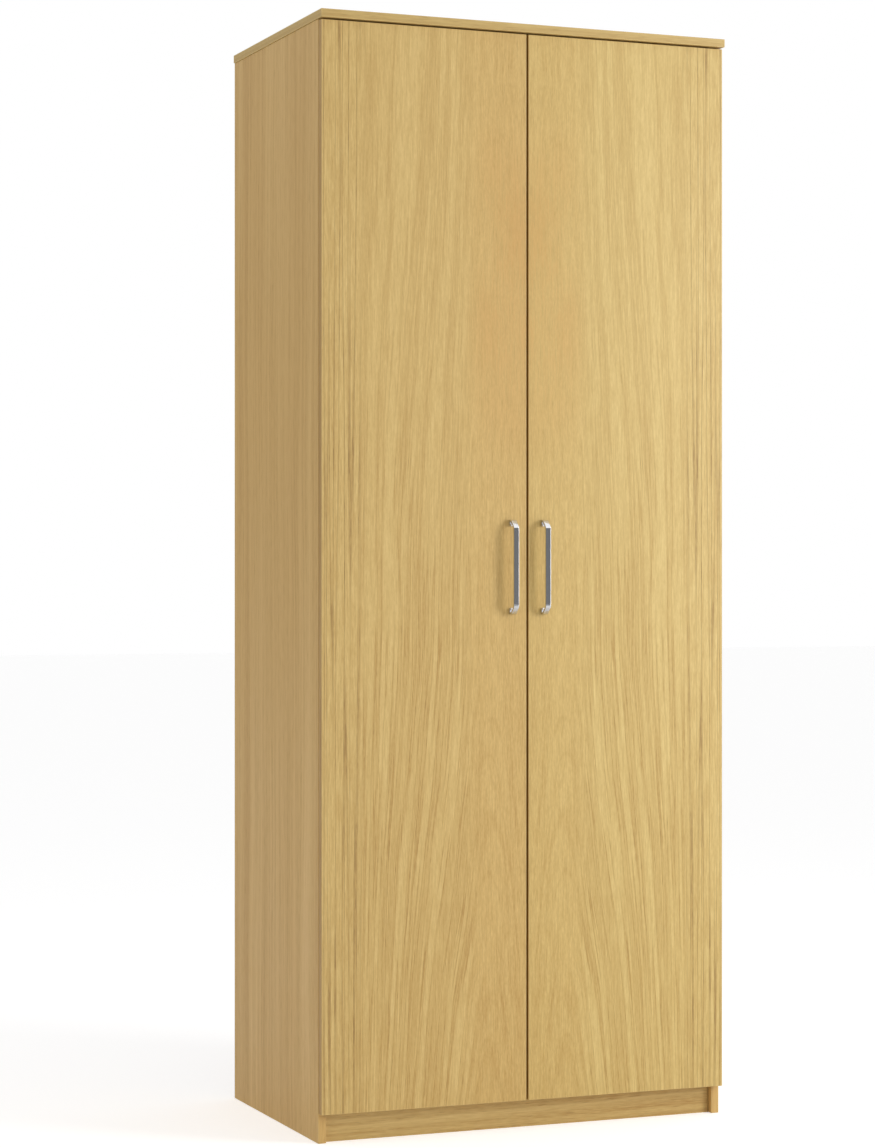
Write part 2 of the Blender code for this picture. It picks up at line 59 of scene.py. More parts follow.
# ---- Shader maths -------------------------------------------------------------------------------
class Value:
    """A socket in a finish's node tree, with arithmetic that adds Math nodes."""

    def __init__(self, finish, socket):
        self.finish = finish
        self.socket = socket

    def math(self, operation, *others, clamp=False):
        """Add a Math node, which takes this value first and then the others."""
        values = dict(enumerate((self,) + others))
        settings = {"operation": operation, "use_clamp": clamp}
        return self.finish.node("ShaderNodeMath", settings, values)

    def __add__(self, other):
        return self.math("ADD", other)

    __radd__ = __add__

    def __sub__(self, other):
        return self.math("SUBTRACT", other)

    def __rsub__(self, other):
        """A number less this value, as value * -1 + number."""
        return self.math("MULTIPLY_ADD", -1.0, other)

    def __mul__(self, other):
        return self.math("MULTIPLY", other)

    __rmul__ = __mul__

    def __truediv__(self, other):
        return self.math("DIVIDE", other)

    def __pow__(self, other):
        return self.math("POWER", other)

    def __abs__(self):
        return self.math("ABSOLUTE")

    def clamp(self):
        """This value, held between 0 and 1."""
        return self.math("ADD", 0.0, clamp=True)

    def least(self, other):
        """The lesser of two values."""
        return self.math("MINIMUM", other)

    def most(self, other):
        """The greater of two values."""
        return self.math("MAXIMUM", other)

    def smooth(self, low, high):
        """A smooth step from 0 at low to 1 at high, whichever of the two is the greater."""
        inputs = {"Value": self, "From Min": min(low, high), "From Max": max(low, high)}
        if low > high:
            inputs.update({"To Min": 1.0, "To Max": 0.0})
        settings = {"interpolation_type": "SMOOTHSTEP"}
        return self.finish.node("ShaderNodeMapRange", settings, inputs)


class Finish:
    """One material: its node tree, its Principled shader, and the ways to add nodes to it."""

    def __init__(self, name, **constants):
        self.material = bpy.data.materials.new(name)
        self.material.use_nodes = True
        self.nodes = self.material.node_tree.nodes
        self.links = self.material.node_tree.links
        self.shader = self.nodes["Principled BSDF"]
        for name, value in constants.items():
            self.socket(name).default_value = value

    def socket(self, name):
        """The shader's socket of that name, which is written as in base_color."""
        return self.shader.inputs[name.replace("_", " ").title()]

    def node(self, kind, settings=None, inputs=None, output=0):
        """Add a node: settings are set first, then its sockets get values or links."""
        made = self.nodes.new(kind)
        for name, value in (settings or {}).items():
            if name == "stops":
                ramp_stops(made.color_ramp, value)
            else:
                setattr(made, name, value)
        for key, value in (inputs or {}).items():
            if isinstance(value, Value):
                self.links.new(value.socket, made.inputs[key])
            else:
                made.inputs[key].default_value = value
        return Value(self, made.outputs[output])

    def feed(self, **values):
        """Link varying values to the shader's sockets."""
        for name, value in values.items():
            self.links.new(value.socket, self.socket(name))

    def split(self, kind):
        """The x, y and z of one output of a Texture Coordinate node."""
        vector = self.node("ShaderNodeTexCoord", output=kind)
        parts = self.node("ShaderNodeSeparateXYZ", {}, {0: vector}).socket.node.outputs
        return [Value(self, parts[axis]) for axis in range(3)]

    def place(self):
        """The point's x, y and z in the piece's own axes."""
        return self.split("Object")

    def facing(self):
        """The surface normal's size along x, y and z in the piece's own axes."""
        return [abs(part) for part in self.split("Normal")]

    def noise(self, x, y, z, detail=2.0, roughness=0.5):
        """Noise about 0.5, with features about 1 across, at a point made of three values."""
        point = self.node("ShaderNodeCombineXYZ", {}, {0: x, 1: y, 2: z})
        inputs = {"Vector": point, "Scale": 1.0, "Detail": detail, "Roughness": roughness}
        return self.node("ShaderNodeTexNoise", {}, inputs)

    def clouds(self, scale, roughness=0.5):
        """Noise that looks the same along every axis, with about scale features to the metre."""
        x, y, z = self.place()
        return self.noise(x * scale, y * scale, z * scale, 3.0, roughness)

    def mix(self, amount, first, second, blend="MIX"):
        """Blend two colours by amount, 0 to 1."""
        settings = {"data_type": "RGBA", "blend_type": blend}
        return self.node("ShaderNodeMix", settings, {0: amount, 6: first, 7: second}, output=2)

    def multiply(self, first, second):
        """The product of two colours."""
        return self.mix(1.0, first, second, "MULTIPLY")

    def ramp(self, value, stops):
        """Turn a value into a colour by (place, colour) stops."""
        return self.node("ShaderNodeValToRGB", {"stops": stops}, {0: value})

    def bump(self, height, distance, strength):
        """Raise the surface by height times distance, in its shading only."""
        inputs = {"Height": height, "Distance": distance, "Strength": strength}
        self.feed(normal=self.node("ShaderNodeBump", {}, inputs))


def ramp_stops(ramp, stops):
    """Give a colour ramp its (place, colour) stops."""
    while len(ramp.elements) > 1:
        ramp.elements.remove(ramp.elements[-1])
    ramp.elements[0].position, ramp.elements[0].color = stops[0]
    for place, colour in stops[1:]:
        ramp.elements.new(place).color = colour


# ---- Oak ----------------------------------------------------------------------------------------
OAK_PALE = linear(225, 198, 132)
OAK_MIDDLE = linear(207, 177, 110)
OAK_LINE = linear(184, 147, 80)
OAK_PORE = linear(142, 108, 54)
OAK_ORANGE = linear(204, 158, 88)
FIBRE_DARK = linear(141, 104, 70)
FIBRE_PALE = linear(186, 150, 108)
INNER_SHADE = (0.98, 0.95, 0.91, 1.0)    # the doors beside the meeting gap against their middles
EDGE_TONE_AND_SHADE = (0.78, 0.68, 0.58, 1.0)     # the doors' edge strips against their faces: the edge band's own darker tone, partly painted shade
GAP_PAINTED_SHADE = (0.74, 0.58, 0.38, 1.0)      # and those at the meeting gap, darker still as painted shade in the gap
LACQUER = 0.40                           # the oak's mean roughness
WEAR = (2.2 * MM, 0.2 * MM)              # how far from an edge wear starts and is full
FACE_NORMAL = (0.45, 0.75)               # a wide face's normal has this size along the thin axis
DOOR_STRIP_SHIFT = 0.55                  # edge strips take other grain than the faces
BOARD_STRIP_SHIFT = 0.77
# Where the doors' kinds of grain fade in, as distances from the meeting gap
INNER_ZONE = (0.135, 0.085)
OUTER_BAND = (0.310, 0.340)
LEAN_STARTS = (0.02, 0.12)
LEAN_STOPS = (0.36, 0.18)
# How far a line of growth moves outwards for each metre down, at the top and more low down
LEAN = 0.054
LEAN_MORE = 0.071
PAINTED_END_SHADE = (4 * MM, 1 * MM)                 # painted shade in the seam where a board's end meets a side, likewise from the board's end


def edge_distance(finish, box):
    """How far a point of a board's surface is from the board's nearest edge.

    A point lies on one face, so of its distances to the three pairs of faces the least is nothing,
    and the next one is the distance to an edge: the sum less the least and the greatest.
    """
    low, high = box
    to_x, to_y, to_z = [(high[axis] - low[axis]) / 2 - abs(value - (low[axis] + high[axis]) / 2)
                        for axis, value in enumerate(finish.place())]
    return to_x + to_y + to_z - to_x.least(to_y).least(to_z) - to_x.most(to_y).most(to_z)


def finish_oak(finish, box, grain, dash, colour, relief):
    """What every oak surface ends with: slightly worn edges, satin lacquer, and open pores."""
    worn = edge_distance(finish, box).smooth(*WEAR)
    colour = finish.mix(worn * 0.35, colour, OAK_PALE)
    smudge = finish.clouds(5.0)
    gloss = LACQUER + 0.09 * grain + 0.14 * dash + (smudge - 0.5) * 0.10 - 0.06 * worn
    finish.feed(base_color=colour, roughness=gloss)
    finish.bump(grain * -0.35 - dash, relief, 0.4)


def crossings(noise, width):
    """Thin crisp lines: 1 where a noise passes its middle value, falling to 0 a width away."""
    return abs(noise - 0.5).smooth(width, 0.0)


def door_veneer(name, box, tint):
    """Crown-cut oak, mirrored about the meeting gap.

    across is the distance from the gap. Lines of growth lie where across plus a lean times height
    is constant, so they move outwards as they go down; the lean fades towards the straight, tight
    outer band. The lines are where a noise squeezed across them passes its middle value, broken up
    by short upright dashes. Beside the gap stand tall arches, where height plus a steep square of
    the distance from their middle is constant. The door's edges carry a darker plain strip: partly
    the edge band's own tone and partly painted shade, and painted shade darkens it further at the
    meeting gap.
    """
    finish = Finish(name)
    x, y, z = finish.place()
    face = finish.facing()[1].smooth(*FACE_NORMAL)
    gap_shade_mask = abs(x).smooth(0.05, 0.03)
    across = abs(x) * face + (1 - face) * (y + DOOR_STRIP_SHIFT)
    sway = finish.noise(across * 4.0, 0.0, z * 1.5)
    lean_zone = across.smooth(*LEAN_STARTS) * across.smooth(*LEAN_STOPS)
    lean = lean_zone * (LEAN + LEAN_MORE * z.smooth(1.25, 0.30))
    ring = across + lean * (z - 0.6) + (sway - 0.5) * 0.034 * across.smooth(0.37, 0.2)

    inner = across.smooth(*INNER_ZONE)
    band = across.smooth(*OUTER_BAND)
    middle = 1 - inner.most(band)
    broad = finish.noise(ring * 22.0, 3.1, z * 0.6, roughness=0.6)
    lines = finish.noise(ring * 88.0, 7.7, z * 1.3, detail=3.0, roughness=0.62)
    tight = finish.noise(ring * 115.0, 9.2, z * 0.7, detail=1.0)
    fibre = finish.noise(across * 700.0, 1.3, z * 16.0, roughness=0.6)
    short = finish.noise(across * 360.0, 5.6, z * 30.0, roughness=0.6)
    speck = finish.noise(across * 480.0, 8.8, z * 110.0)
    level = z + 110.0 * (across - 0.075) * (across - 0.075)
    arches = finish.noise(level * 11.0, 6.5, across * 14.0)
    arch = crossings(arches, 0.07) * across.smooth(0.16, 0.11) * z.smooth(1.05, 0.75)

    broken = short.smooth(0.36, 0.60)
    fade = finish.noise(across * 70.0, 3.3, z * 7.0).smooth(0.35, 0.62)
    calm = 0.50 + 0.50 * z.smooth(1.45, 0.80)
    streak = crossings(lines, 0.045) * middle * (0.25 + 0.75 * broken) * calm
    rule = crossings(tight, 0.075) * band * (0.30 + 0.70 * broken) * (0.45 + 0.55 * fade)
    tone = ((broad - 0.5) * 0.28 + (lines - 0.5) * (0.22 + 0.66 * middle * calm)
            + (fibre - 0.5) * 0.50 + (short - 0.5) * (0.80 + 0.35 * band)
            + (speck - 0.5) * (0.40 + 0.22 * inner) - streak * 0.56 - arch * 0.14 - rule * 0.40)
    grain = (0.44 - tone).clamp()
    colour = finish.ramp(grain, [(0.0, OAK_PALE), (0.45, OAK_MIDDLE), (1.0, OAK_LINE)])

    pores = finish.noise(across * 900.0, 4.4, z * 38.0, detail=1.0)
    open_rows = streak + rule + inner * 0.30
    dash = pores.smooth(0.54, 0.70) * open_rows.clamp()
    colour = finish.mix((dash * 0.45 + rule * 0.60).clamp(), colour, OAK_PORE)
    patch = finish.noise(across * 9.0, 2.0, z * 3.4, detail=3.0)
    warm_zone = across.smooth(0.14, 0.05) * z.smooth(1.15, 1.45) * z.smooth(1.90, 1.65)
    orange = (patch * 0.6 + short * 0.4).smooth(0.36, 0.60) * warm_zone * 0.55
    colour = finish.mix(orange, colour, OAK_ORANGE)
    colour = finish.multiply(colour, tint)
    colour = finish.mix(inner, colour, finish.multiply(colour, INNER_SHADE))
    # Painted shade: the edge strips are darkened, and darkened most beside the meeting gap, where
    # the gap's shade falls; the rest is the edge band's own tone.
    edge_tone_and_shade = finish.mix(gap_shade_mask, EDGE_TONE_AND_SHADE, GAP_PAINTED_SHADE)
    colour = finish.mix(1 - face, colour, finish.multiply(colour, edge_tone_and_shade))
    finish_oak(finish, box, grain, dash, colour, 0.08 * MM)
    return finish.material


def board_veneer(name, box, along, thin, tint, contrast, seed, shaded_ends=False, raw_rear=False):
    """Quiet straight-grained oak for the other boards.

    Streaks are noise drawn out along one axis. Across the board they follow its wide face, and on
    its edges they follow the strip, so that an edge shows fine lines that run along it. A board
    with shaded ends darkens at its two ends, where it meets the sides: painted shade in the seam. A
    board with a raw rear is bare fibreboard behind its middle: fine felt over softer clouds.
    """
    finish = Finish(name)
    places = finish.place()
    run = places[along]
    wide = ({0, 1, 2} - {along, thin}).pop()
    face = finish.facing()[thin].smooth(*FACE_NORMAL)
    across = places[wide] * face + (1 - face) * (places[thin] + BOARD_STRIP_SHIFT)
    weave = finish.noise(across * 3.0, seed, run * 1.1)
    ring = across + (weave - 0.5) * 0.05

    broad = finish.noise(ring * 15.0, seed + 1.7, run * 0.4)
    lines = finish.noise(ring * 95.0, seed + 5.1, run * 1.2, detail=3.0, roughness=0.6)
    fibre = finish.noise(across * 700.0, seed + 9.4, run * 14.0)
    short = finish.noise(across * 330.0, seed + 2.2, run * 40.0)
    pores = finish.noise(across * 900.0, seed + 7.3, run * 36.0, detail=1.0)
    tone = ((broad - 0.5) * 0.8 + (lines - 0.5) + (fibre - 0.5) * 0.4 + (short - 0.5) * 0.5)
    grain = (0.5 - tone * contrast).clamp()
    colour = finish.ramp(grain, [(0.0, OAK_PALE), (0.5, OAK_MIDDLE), (1.0, OAK_LINE)])
    dash = pores.smooth(0.56, 0.72) * lines.smooth(0.60, 0.42)
    colour = finish.mix(dash * 0.35 * contrast, colour, OAK_PORE)
    colour = finish.multiply(colour, tint)
    low, high = box
    # Painted shade: the board's two ends darken where they meet the sides, as shade in the seam.
    if shaded_ends:
        to_end = (high[along] - low[along]) / 2 - abs(run - (low[along] + high[along]) / 2)
        colour = finish.mix(to_end.smooth(*PAINTED_END_SHADE) * 0.75, colour, OAK_PORE)
    if raw_rear:
        middle = (low[1] + high[1]) / 2
        rear = places[1].smooth(middle - 0.5 * MM, middle + 0.5 * MM)
        felt = finish.clouds(600.0, roughness=0.7)
        blotch = felt * 0.65 + finish.clouds(45.0) * 0.35
        fibreboard = finish.ramp(blotch, [(0.30, FIBRE_DARK), (0.68, FIBRE_PALE)])
        colour = finish.mix(rear, colour, fibreboard)
        grain = grain + (felt - grain) * rear
        dash = dash * (1 - rear)
    finish_oak(finish, box, grain, dash, colour, 0.07 * MM)
    return finish.material


# ---- Metals and plastics ------------------------------------------------------------------------
def darker(colour, share):
    """A colour with its red, green and blue multiplied by share."""
    return tuple(part * share for part in colour[:3]) + (1.0,)


def metal(name, colour, rough, brushed=0.0):
    """Plated metal: faint mottling, and for a brushed one fine scratches, in its roughness."""
    finish = Finish(name, metallic=1.0)
    x, y, z = finish.place()
    cloud = finish.clouds(60.0)
    scratch = finish.noise(x * 4000.0, y * 300.0, z * 300.0)
    finish.feed(base_color=finish.mix(cloud, colour, darker(colour, 0.86)),
                roughness=rough + (cloud - 0.5) * rough + (scratch - 0.5) * brushed)
    finish.bump(cloud * 0.3 + scratch * brushed, 0.02 * MM, 0.2)
    return finish.material


def plastic(name, colour, rough):
    """Moulded plastic: faint mottling in its colour and roughness."""
    finish = Finish(name)
    cloud = finish.clouds(150.0)
    finish.feed(base_color=finish.mix(cloud, colour, darker(colour, 0.9)),
                roughness=rough + (cloud - 0.5) * 0.1)
    finish.bump(cloud, 0.02 * MM, 0.2)
    return finish.material


def paint(node, material):
    """Give a CAD node its finish."""
    mesh = nodes[node].data
    mesh.materials.clear()
    mesh.materials.append(material)


# ---- Hardware made finely -----------------------------------------------------------------------
STRAP_WIDTH = 10 * MM
STRAP_THICKNESS = 4 * MM
STRAP_HALF_STRAIGHT = 73 * MM    # from its middle to where an elbow's outside would be sharp
STRAP_BEND = 7 * MM              # radius outside its bends
BEND_STEPS = 14
# Along a foot: y from the door's face, and how deep the strap is inwards from its middle line
FOOT_PLACES = np.array([-4.5, -4.1, -3.9, -3.6, -2.5, -1.2, -0.3, 0.0]) * MM
FOOT_DEPTHS = np.array([2.0, 2.0, 9.2, 9.8, 10.0, 10.0, 9.9, 9.6]) * MM
SCREW_POINT = 0.3                # how far a screw's point goes past its last ring, in shank radii
HANDLE_SCREW_HEAD = 2.45 * MM
HANDLE_SCREW_SHANK = 2 * MM
SOCKET_FLANGE = 2.2 * MM
SOCKET_SCREW_DOWN = 3.5 * MM     # below the flange's top
CAP_FROM_SIDE = 34 * MM
CAP_FROM_EDGE = 60 * MM          # along the depth, from a side panel's front and rear edges
SHARP_ANGLE = math.radians(42)   # edges that turn more than this are shaded sharp


def add_piece(name, points, faces, material, body):
    """Make a closed mesh piece from an array of points and a list of face arrays, smooth shaded."""
    mesh = bpy.data.meshes.new(name)
    mesh.from_pydata(points.tolist(), [], [face for group in faces for face in group.tolist()])
    mesh.validate()
    mesh.shade_smooth()
    mesh.set_sharp_from_angle(angle=SHARP_ANGLE)
    mesh.materials.append(material)
    piece = bpy.data.objects.new(name, mesh)
    bpy.context.scene.collection.objects.link(piece)
    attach(piece, body)
    return piece


def tube_faces(rings, around):
    """Quads of a grid of rings, wrapped round, with one fan of triangles closing each end.

    Point (i, j) is number i * around + j; the two end points follow the grid. Seen from outside,
    each face runs anticlockwise when the rings are counted along the axis that j turns about.
    """
    ring, step = np.meshgrid(np.arange(rings - 1), np.arange(around), indexing="ij")
    here = ring * around + step
    beside = ring * around + (step + 1) % around
    quads = np.stack([here, beside, beside + around, here + around], axis=-1).reshape(-1, 4)
    turn = np.arange(around)
    after = (turn + 1) % around
    first, last = rings * around, rings * around + 1
    top = (rings - 1) * around
    start = np.stack([np.full(around, first), after, turn], axis=-1)
    end = np.stack([np.full(around, last), top + turn, top + after], axis=-1)
    return [quads, start, end]


def merge(parts):
    """Join (points, faces) pairs into one pair, with each part's face numbers moved on."""
    points, faces, count = [], [], 0
    for part_points, part_faces in parts:
        points.append(part_points)
        faces += [group + count for group in part_faces]
        count += len(part_points)
    return np.concatenate(points), faces


def strap_path(reach, half_length):
    """The strap's middle line, outward normals and inward depth, from its middle to the upper foot.

    In (y, z) from the door's face: the straight at y = t/2 - reach, the elbow's arc
    C + (R - t/2)(cos a, sin a) with a from 180 to 135 degrees, the 45 degree slope, the knee's arc
    from 135 to 90 degrees, and the foot, which runs square to the door. C is the arc's centre, R
    its radius outside, and t the thickness. A bend of 45 degrees takes R tan(22.5) of each side it
    joins. The depth inside the middle line is t/2, and steps up to the boss's over the last 4 mm.
    """
    half = STRAP_THICKNESS / 2
    ease = STRAP_BEND * math.tan(math.pi / 8)
    elbow = np.array([STRAP_BEND - reach, STRAP_HALF_STRAIGHT - ease])
    knee = np.array([half_length - STRAP_HALF_STRAIGHT + ease - reach, half_length - STRAP_BEND])
    up = np.linspace(0, elbow[1], 16)[:-1]
    straight = np.stack([np.full(len(up), half - reach), up], axis=-1)
    turn = np.radians(np.linspace([180, 135], [135, 90], BEND_STEPS).T.ravel())
    arc_normal = np.stack([np.cos(turn), np.sin(turn)], axis=-1)
    arc = np.repeat([elbow, knee], BEND_STEPS, axis=0) + (STRAP_BEND - half) * arc_normal
    foot_steps = len(FOOT_PLACES)
    foot = np.stack([FOOT_PLACES, np.full(foot_steps, half_length - half)], axis=-1)
    line = np.concatenate([straight, arc, foot])
    normal = np.concatenate([np.tile([-1.0, 0.0], (len(up), 1)), arc_normal,
                             np.tile([0.0, 1.0], (foot_steps, 1))])
    depth = np.full(len(line), half)
    depth[-foot_steps:] = FOOT_DEPTHS
    return line, normal, depth


def handle_strap(side, chrome):
    """The strap: a crisp section carried along its path, which is mirrored for the lower half.

    Section: (w/2 |cos a|^(2/n), d |sin a|^(2/n)) with the signs of cos a and sin a, where w is the
    width, n = 16, and d is t/2 outwards and the path's depth inwards.
    """
    low, high = np.array(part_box(f"{side}_handle"))
    middle = (low + high) / 2
    line, normal, depth = strap_path(high[1] - low[1], (high[2] - low[2]) / 2)
    flip = np.array([1.0, -1.0])
    line = np.concatenate([line[:0:-1] * flip, line])
    normal = np.concatenate([normal[:0:-1] * flip, normal])
    depth = np.concatenate([depth[:0:-1], depth])
    angle = np.linspace(0, 2 * math.pi, 40, endpoint=False)
    power = 2 / 16
    wide = STRAP_WIDTH / 2 * np.sign(np.cos(angle)) * np.abs(np.cos(angle)) ** power
    rise = np.sign(np.sin(angle)) * np.abs(np.sin(angle)) ** power
    thick = np.where(rise > 0, STRAP_THICKNESS / 2, depth[:, None]) * rise
    count = len(line)
    points = np.empty((count, len(angle), 3))
    points[..., 0] = wide
    points[..., 1:] = line[:, None, :] + normal[:, None, :] * thick[:, :, None]
    ends = np.array([points[0].mean(axis=0), points[-1].mean(axis=0)])
    points = np.concatenate([points.reshape(-1, 3), ends])
    points += [middle[0], high[1], middle[2]]
    strap = add_piece(f"{side}_handle_strap", points, tube_faces(count, len(angle)), chrome,
                      f"{side}_door")
    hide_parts(f"{side}_handle")


def screw_shape(head, height, shank, length):
    """A pan-head screw on the z axis, head up, its seat at z = 0, as points and faces.

    head and shank are radii. Head: z = height (0.35 + 0.65 (1 - (r / head)^4)^(1/2)), less a
    cross-shaped recess 0.62 height deep where |x| or |y| is under 0.13 head and r is under 0.52
    head, with walls that are smooth steps. Below the seat the shank runs down to a cone.
    """
    around = 48
    angle = np.linspace(0, 2 * math.pi, around, endpoint=False)
    dome = np.array([1.0, 0.985, 0.95, 0.90, 0.84, 0.77, 0.70, 0.64, 0.58, 0.52, 0.46, 0.40, 0.34,
                     0.28, 0.22, 0.16, 0.10, 0.05])
    radii = np.concatenate([[shank * 0.15, shank, shank, head * 0.97, head], head * dome])
    heights = np.zeros(len(radii))
    heights[0] = -length
    heights[1] = -length + 1.5 * shank
    heights[4] = height * 0.08
    heights[5:] = height * (0.35 + 0.65 * np.sqrt(np.clip(1 - dome ** 4, 0, 1)))
    x, y = radii[:, None] * np.cos(angle), radii[:, None] * np.sin(angle)
    half_bar = head * 0.13
    bar = np.minimum(np.abs(x), np.abs(y))
    inside = np.clip((half_bar * 1.6 - bar) / (half_bar * 0.6), 0, 1)
    inside *= np.clip((head * 0.62 - radii[:, None]) / (head * 0.10), 0, 1)
    inside[:5] = 0
    recess = inside * inside * (3 - 2 * inside)
    z = heights[:, None] - recess * height * 0.62
    points = np.stack([x, y, z], axis=-1).reshape(-1, 3)
    ends = [[0.0, 0.0, -length - shank * SCREW_POINT], [0.0, 0.0, z[-1].mean()]]
    return np.concatenate([points, ends]), tube_faces(len(radii), around)


def dome_shape(radius, height, flat=0.55):
    """A low round button on the z axis, its seat at z = 0, as points and faces.

    It runs out along its seat, up a short wall, then over the crown
    z = flat height + (1 - flat) height (1 - (r / radius)^2)^(1/2).
    """
    around = 28
    angle = np.linspace(0, 2 * math.pi, around, endpoint=False)
    over = np.linspace(1, 0.06, 9)
    radii = np.concatenate([[radius * 0.5, radius], radius * over])
    crown = height * (flat + (1 - flat) * np.sqrt(1 - over ** 2))
    heights = np.concatenate([[0.0, 0.0], crown])
    points = np.stack([radii[:, None] * np.cos(angle), radii[:, None] * np.sin(angle),
                       heights[:, None] * np.ones(around)], axis=-1).reshape(-1, 3)
    points = np.concatenate([points, [[0.0, 0.0, 0.0], [0.0, 0.0, height]]])
    return points, tube_faces(len(radii), around)


def placed(shape, place, axis, turn=0.0):
    """Stand a shape at place with its z axis along axis, turned about it by an angle."""
    points, faces = shape
    up = np.array(axis, dtype=float)
    side = np.cross(up, [0.0, 0.0, 1.0] if abs(up[2]) < 0.9 else [1.0, 0.0, 0.0])
    other = np.cross(up, side)
    first = side * math.cos(turn) + other * math.sin(turn)
    second = np.cross(up, first)
    return points @ np.array([first, second, up]) + np.array(place), faces


def hinge_points(side):
    """The side's outer face in x, its front edge in y, its hinges' heights, and inboard's sign."""
    sign = SIDES[side]
    panel_low, panel_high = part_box(f"{side}_side_panel")
    outer = panel_low[0] if sign < 0 else panel_high[0]
    cups = [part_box(f"{side}_hinge_cup_{number}") for number in range(1, 5)]
    heights = [(low[2] + high[2]) / 2 for low, high in cups]
    return outer, panel_low[1], heights, -sign


def hinge_hardware(side, nickel):
    """The screws and rivets of one door's four hinges.

    Each set has a shape, a body, the way its heads face, and its places on a hinge in millimetres:
    inboard from the side's outer face, back from its front edge, and up from the hinge's middle.
    """
    outer, front, heights, inboard = hinge_points(side)
    turns = np.random.default_rng(11).uniform(0, math.pi, 64)
    wood_screw = screw_shape(head=3.9 * MM, height=1.7 * MM, shank=1.7 * MM, length=9 * MM)
    adjuster = screw_shape(head=3.4 * MM, height=1.0 * MM, shank=1.5 * MM, length=1.0 * MM)
    rivet = dome_shape(radius=2.0 * MM, height=0.7 * MM)
    sets = {
        "cup_screws": (wood_screw, f"{side}_door", (0, 1, 0), [(32, -0.2, 24), (32, -0.2, -24)]),
        "plate_screws": (wood_screw, "carcass", (inboard, 0, 0), [(16.9, 37, 16), (16.9, 37, -16)]),
        "arm_screws": (adjuster, "carcass", (inboard, 0, 0), [(30, 25, 0), (30, 50, 0)]),
        "pin_heads_upper": (rivet, "carcass", (0, 0, 1), [(25, -1, 8.2)]),
        "pin_heads_lower": (rivet, "carcass", (0, 0, -1), [(25, -1, -8.2)]),
    }
    for label, (shape, body, axis, spots) in sets.items():
        parts = []
        for height in heights:
            for across, back, up in spots:
                place = (outer + inboard * across * MM, front + back * MM, height + up * MM)
                parts.append(placed(shape, place, axis, turns[len(parts)]))
        points, faces = merge(parts)
        add_piece(f"{side}_hinge_{label}", points, faces, nickel, body)


def handle_screws(side, nickel):
    """The machine screws that hold a handle, their heads on the door's back."""
    for where in ("lower", "upper"):
        node = f"{side}_handle_screw_{where}"
        low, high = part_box(node)
        seat = high[1] - HANDLE_SCREW_HEAD
        length = seat - low[1] - HANDLE_SCREW_SHANK * SCREW_POINT
        shape = screw_shape((high[0] - low[0]) / 2, HANDLE_SCREW_HEAD, HANDLE_SCREW_SHANK, length)
        middle = ((low[0] + high[0]) / 2, seat, (low[2] + high[2]) / 2)
        points, faces = placed(shape, middle, (0, 1, 0), turn=0.4)
        screw = add_piece(f"{node}_detailed", points, faces, nickel, f"{side}_door")
        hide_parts(node)


def socket_screws(nickel):
    """One screw above the rail in each socket's flange."""
    shape = screw_shape(head=2.7 * MM, height=0.8 * MM, shank=1.4 * MM, length=8 * MM)
    parts = []
    for side, sign in SIDES.items():
        low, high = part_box(f"rail_socket_{side}")
        flange = sign * (max(abs(low[0]), abs(high[0])) - SOCKET_FLANGE)
        place = (flange, (low[1] + high[1]) / 2, high[2] - SOCKET_SCREW_DOWN)
        parts.append(placed(shape, place, (-sign, 0, 0), turn=0.5))
    points, faces = merge(parts)
    add_piece("rail_socket_screws", points, faces, nickel, "carcass")


def cam_caps(pale):
    """Push-in caps over the cam fittings: the wall rail's front and the top panel's underside."""
    shape = dome_shape(radius=8 * MM, height=0.9 * MM, flat=0.7)
    rail_low, rail_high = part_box("wall_rail")
    top_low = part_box("top_panel")[0]
    side_low, side_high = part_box("left_side_panel")
    from_middle = abs(side_high[0]) - CAP_FROM_SIDE
    rail_middle = (rail_low[2] + rail_high[2]) / 2
    parts = [placed(shape, (sign * from_middle, rail_low[1], rail_middle), (0, -1, 0))
             for sign in (-1, 1)]
    parts += [placed(shape, (sign * from_middle, place, top_low[2]), (0, 0, -1))
              for sign in (-1, 1)
              for place in (side_low[1] + CAP_FROM_EDGE, side_high[1] - CAP_FROM_EDGE)]
    points, faces = merge(parts)
    add_piece("cam_caps", points, faces, pale, "carcass")


def make_hardware(chrome, nickel, pale):
    """Make every fine piece of hardware."""
    for side in SIDES:
        handle_strap(side, chrome)
        handle_screws(side, nickel)
        hinge_hardware(side, nickel)
    socket_screws(nickel)
    cam_caps(pale)


# ---- Finishes on the CAD pieces -----------------------------------------------------------------
def paint_boards():
    """Veneer on the doors and the boards.

    Each board has its grain's axis, its thin axis (0, 1, 2 for x, y, z), a tint and a contrast.
    """
    leaves = {"left": (1.02, 0.985, 0.95, 1.0), "right": (1.03, 1.03, 0.985, 1.0)}
    for side, tint in leaves.items():
        paint(f"{side}_door", door_veneer(f"{side}_door_oak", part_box(f"{side}_door"), tint))
    boards = {
        "left_side_panel": (2, 0, (1.05, 0.94, 0.87, 1.0), 0.85),
        "right_side_panel": (2, 0, (1.05, 0.94, 0.87, 1.0), 0.85),
        "top_panel": (0, 2, (0.97, 0.96, 0.95, 1.0), 0.9),
        "base_panel": (0, 2, (0.97, 0.94, 0.90, 1.0), 0.7),
        "plinth_front": (0, 1, (0.98, 0.95, 0.93, 1.0), 1.5),
        "plinth_rear": (0, 1, (0.96, 0.93, 0.88, 1.0), 1.0),
        "wall_rail": (0, 1, (0.95, 0.94, 0.92, 1.0), 0.8),
        "hat_shelf": (0, 2, (0.97, 0.95, 0.92, 1.0), 0.8),
        "back_panel": (2, 1, (1.0, 0.97, 0.93, 1.0), 0.5),
    }
    # The boards that get painted shade at their ends, where they meet the sides.
    shaded_ends = ("plinth_front", "plinth_rear", "wall_rail")
    for number, (node, look) in enumerate(boards.items()):
        paint(node, board_veneer(f"{node}_oak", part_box(node), *look, seed=3.7 * number,
                                 shaded_ends=node in shaded_ends, raw_rear=node == "back_panel"))


